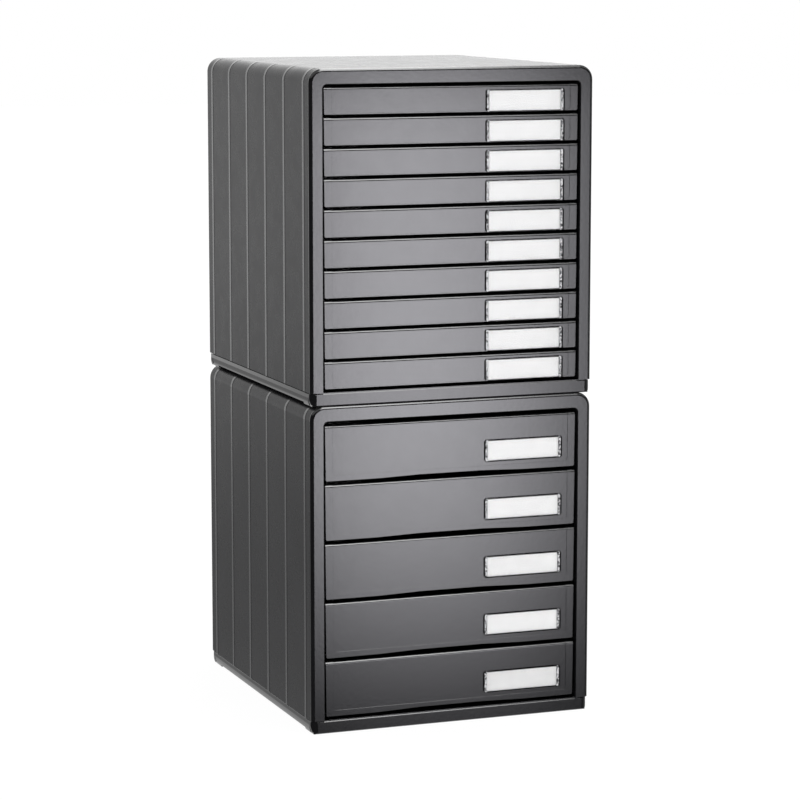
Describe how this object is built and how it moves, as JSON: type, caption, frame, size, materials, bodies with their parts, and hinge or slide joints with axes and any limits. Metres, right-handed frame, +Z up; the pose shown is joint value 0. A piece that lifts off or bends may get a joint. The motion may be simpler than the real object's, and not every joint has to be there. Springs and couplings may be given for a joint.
{
  "type": "letter tray stack with drawers",
  "caption": "Two desk cases standing one on the other, the upper filled with slim letter drawers and the lower with deep ones, each front with a label window at its right",
  "frame": {"origin": "on the surface that the stack stands on, under the middle of its footprint", "axes": "+Z is up, -Y is the drawers' side, and +X runs to the right as seen from the front"},
  "size_m": [0.2916, 0.325, 0.64],
  "materials": {
    "gloss_black": "smooth moulded face, high gloss",
    "grained_black": "fine moulded grain, half matt",
    "soft_pad": "soft, matt",
    "clear_plastic": "clear moulded plastic",
    "label_paper": "plain white card"
  },
  "bodies": {
    "lower_case": {"lower_base": "gloss_black", "lower_pads": "soft_pad", "lower_shell": "grained_black", "lower_front_frame": "gloss_black", "lower_back_panel": "grained_black", "lower_left_runner": "grained_black", "lower_right_runner": "grained_black"},
    "upper_case": {"upper_base": "gloss_black", "upper_pads": "soft_pad", "upper_shell": "grained_black", "upper_front_frame": "gloss_black", "upper_back_panel": "grained_black", "upper_left_runner": "grained_black", "upper_right_runner": "grained_black"},
    "upper_drawer_1": {"upper_drawer_1": "gloss_black", "upper_label_window_1": "clear_plastic", "upper_label_card_1": "label_paper"},
    "upper_drawer_2": {"upper_drawer_2": "gloss_black", "upper_label_window_2": "clear_plastic", "upper_label_card_2": "label_paper"},
    "upper_drawer_3": {"upper_drawer_3": "gloss_black", "upper_label_window_3": "clear_plastic", "upper_label_card_3": "label_paper"},
    "upper_drawer_4": {"upper_drawer_4": "gloss_black", "upper_label_window_4": "clear_plastic", "upper_label_card_4": "label_paper"},
    "upper_drawer_5": {"upper_drawer_5": "gloss_black", "upper_label_window_5": "clear_plastic", "upper_label_card_5": "label_paper"},
    "upper_drawer_6": {"upper_drawer_6": "gloss_black", "upper_label_window_6": "clear_plastic", "upper_label_card_6": "label_paper"},
    "upper_drawer_7": {"upper_drawer_7": "gloss_black", "upper_label_window_7": "clear_plastic", "upper_label_card_7": "label_paper"},
    "upper_drawer_8": {"upper_drawer_8": "gloss_black", "upper_label_window_8": "clear_plastic", "upper_label_card_8": "label_paper"},
    "upper_drawer_9": {"upper_drawer_9": "gloss_black", "upper_label_window_9": "clear_plastic", "upper_label_card_9": "label_paper"},
    "upper_drawer_10": {"upper_drawer_10": "gloss_black", "upper_label_window_10": "clear_plastic", "upper_label_card_10": "label_paper"},
    "lower_drawer_1": {"lower_drawer_1": "gloss_black", "lower_label_window_1": "clear_plastic", "lower_label_card_1": "label_paper"},
    "lower_drawer_2": {"lower_drawer_2": "gloss_black", "lower_label_window_2": "clear_plastic", "lower_label_card_2": "label_paper"},
    "lower_drawer_3": {"lower_drawer_3": "gloss_black", "lower_label_window_3": "clear_plastic", "lower_label_card_3": "label_paper"},
    "lower_drawer_4": {"lower_drawer_4": "gloss_black", "lower_label_window_4": "clear_plastic", "lower_label_card_4": "label_paper"},
    "lower_drawer_5": {"lower_drawer_5": "gloss_black", "lower_label_window_5": "clear_plastic", "lower_label_card_5": "label_paper"}
  },
  "joints": [
    {"name": "upper_case_lift", "type": "slide", "parent": "lower_case", "child": "upper_case", "axis": [0, 0, 1], "range_m": [0, 0.05]},
    {"name": "upper_drawer_1_slide", "type": "slide", "parent": "upper_case", "child": "upper_drawer_1", "axis": [0, -1, 0], "range_m": [0, 0.24]},
    {"name": "upper_drawer_2_slide", "type": "slide", "parent": "upper_case", "child": "upper_drawer_2", "axis": [0, -1, 0], "range_m": [0, 0.24]},
    {"name": "upper_drawer_3_slide", "type": "slide", "parent": "upper_case", "child": "upper_drawer_3", "axis": [0, -1, 0], "range_m": [0, 0.24]},
    {"name": "upper_drawer_4_slide", "type": "slide", "parent": "upper_case", "child": "upper_drawer_4", "axis": [0, -1, 0], "range_m": [0, 0.24]},
    {"name": "upper_drawer_5_slide", "type": "slide", "parent": "upper_case", "child": "upper_drawer_5", "axis": [0, -1, 0], "range_m": [0, 0.24]},
    {"name": "upper_drawer_6_slide", "type": "slide", "parent": "upper_case", "child": "upper_drawer_6", "axis": [0, -1, 0], "range_m": [0, 0.24]},
    {"name": "upper_drawer_7_slide", "type": "slide", "parent": "upper_case", "child": "upper_drawer_7", "axis": [0, -1, 0], "range_m": [0, 0.24]},
    {"name": "upper_drawer_8_slide", "type": "slide", "parent": "upper_case", "child": "upper_drawer_8", "axis": [0, -1, 0], "range_m": [0, 0.24]},
    {"name": "upper_drawer_9_slide", "type": "slide", "parent": "upper_case", "child": "upper_drawer_9", "axis": [0, -1, 0], "range_m": [0, 0.24]},
    {"name": "upper_drawer_10_slide", "type": "slide", "parent": "upper_case", "child": "upper_drawer_10", "axis": [0, -1, 0], "range_m": [0, 0.24]},
    {"name": "lower_drawer_1_slide", "type": "slide", "parent": "lower_case", "child": "lower_drawer_1", "axis": [0, -1, 0], "range_m": [0, 0.24]},
    {"name": "lower_drawer_2_slide", "type": "slide", "parent": "lower_case", "child": "lower_drawer_2", "axis": [0, -1, 0], "range_m": [0, 0.24]},
    {"name": "lower_drawer_3_slide", "type": "slide", "parent": "lower_case", "child": "lower_drawer_3", "axis": [0, -1, 0], "range_m": [0, 0.24]},
    {"name": "lower_drawer_4_slide", "type": "slide", "parent": "lower_case", "child": "lower_drawer_4", "axis": [0, -1, 0], "range_m": [0, 0.24]},
    {"name": "lower_drawer_5_slide", "type": "slide", "parent": "lower_case", "child": "lower_drawer_5", "axis": [0, -1, 0], "range_m": [0, 0.24]}
  ]
}
